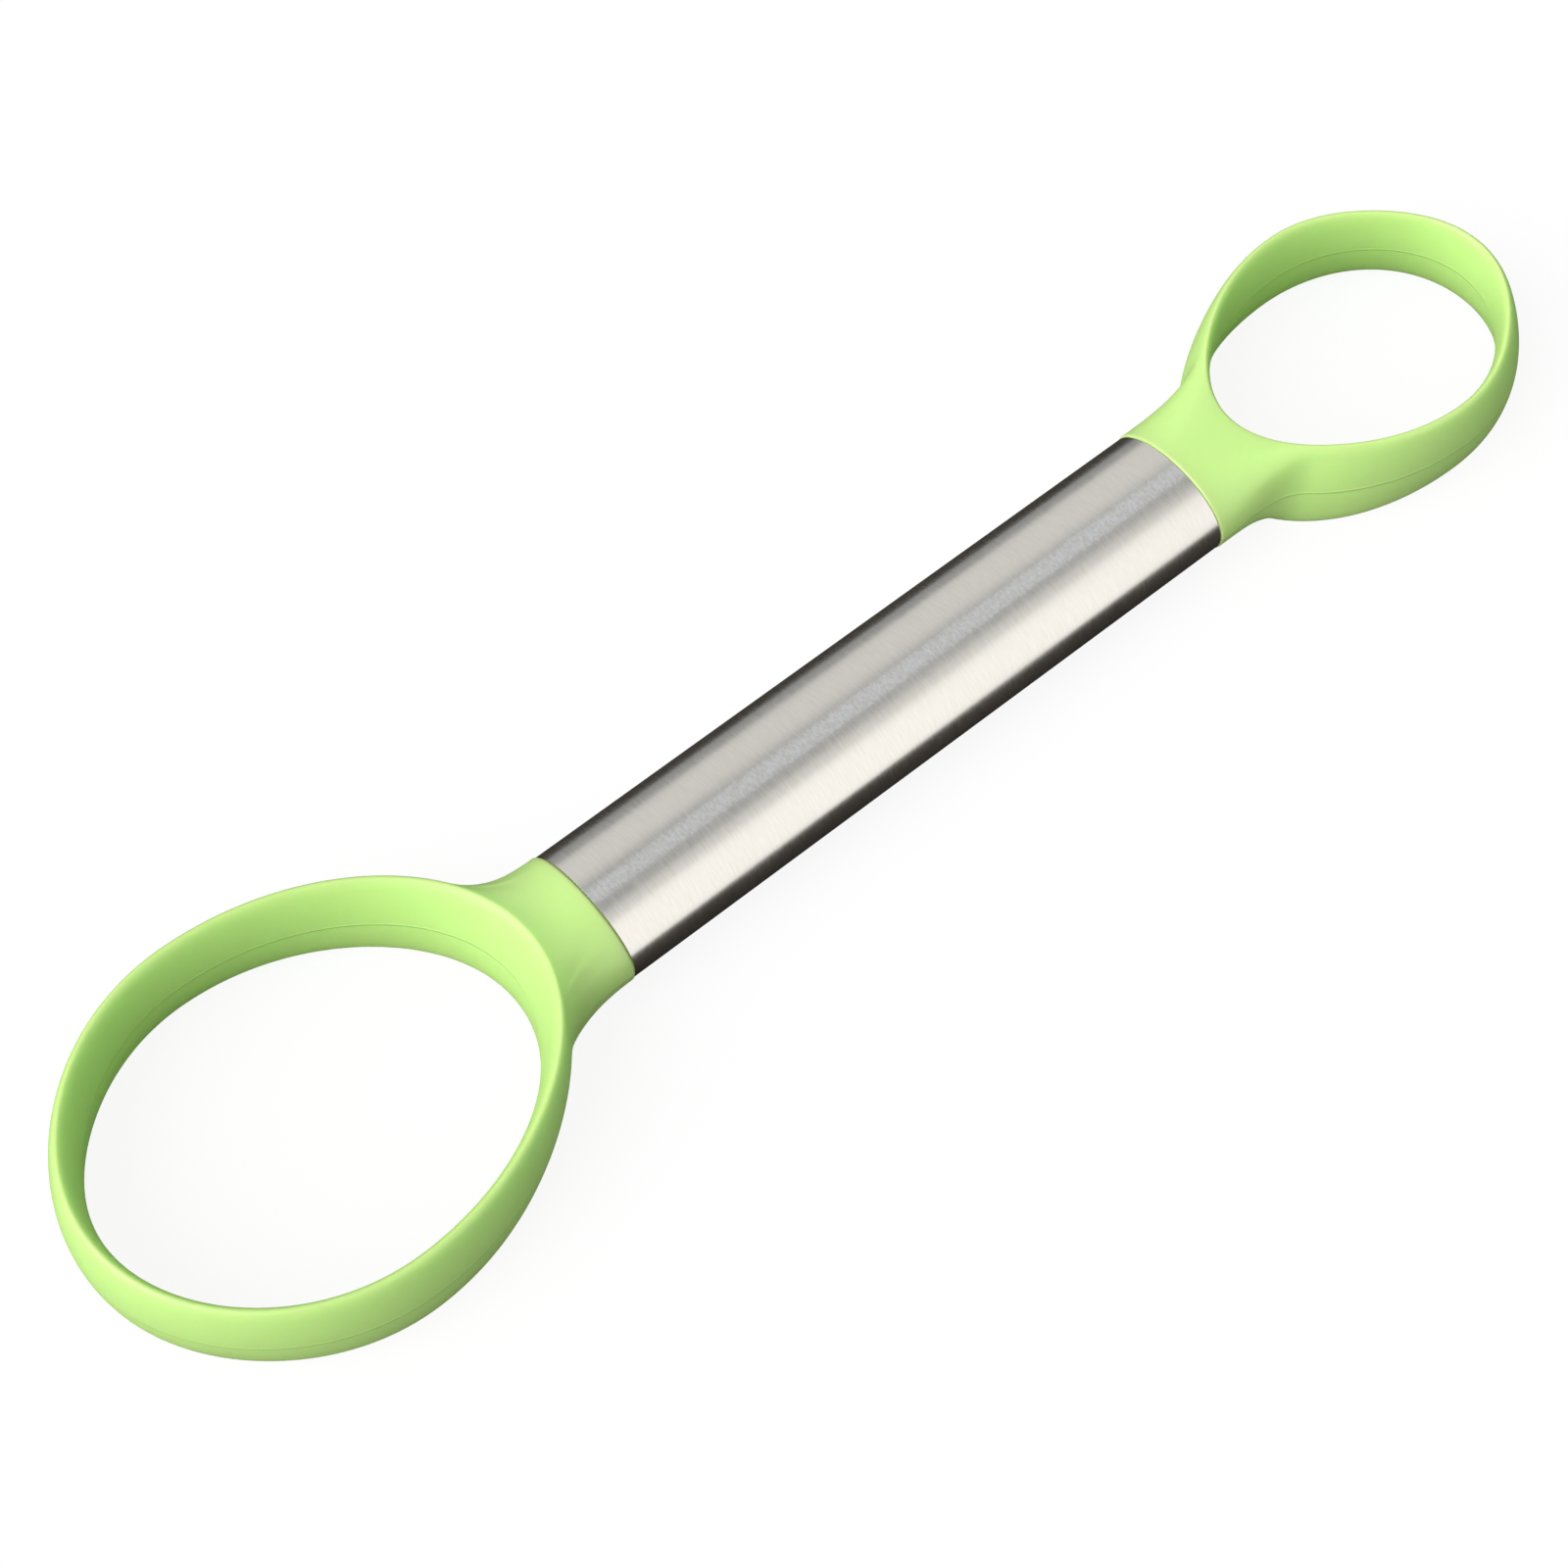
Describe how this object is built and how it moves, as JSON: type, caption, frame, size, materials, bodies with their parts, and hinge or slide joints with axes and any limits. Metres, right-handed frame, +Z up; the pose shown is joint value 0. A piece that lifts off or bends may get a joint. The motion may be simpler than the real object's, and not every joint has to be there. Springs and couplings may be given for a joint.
{
  "type": "melon baller",
  "caption": "Hand tool for scooping melon: an oval steel tube handle with an open moulded cutting ring on each end, a large ring opposite a smaller one.",
  "frame": {"origin": "middle of the whole outline, on the plane that both rings rest on", "axes": "+X along the handle, from the large ring towards the small ring; +Y across the handle's width; +Z up, square to the rings"},
  "size_m": [0.2322, 0.056, 0.0142],
  "materials": {
    "steel": "brushed",
    "green_plastic": "gloss"
  },
  "bodies": {
    "root": {"handle_tube": "steel", "large_ring_head": "green_plastic", "small_ring_head": "green_plastic"}
  },
  "joints": []
}
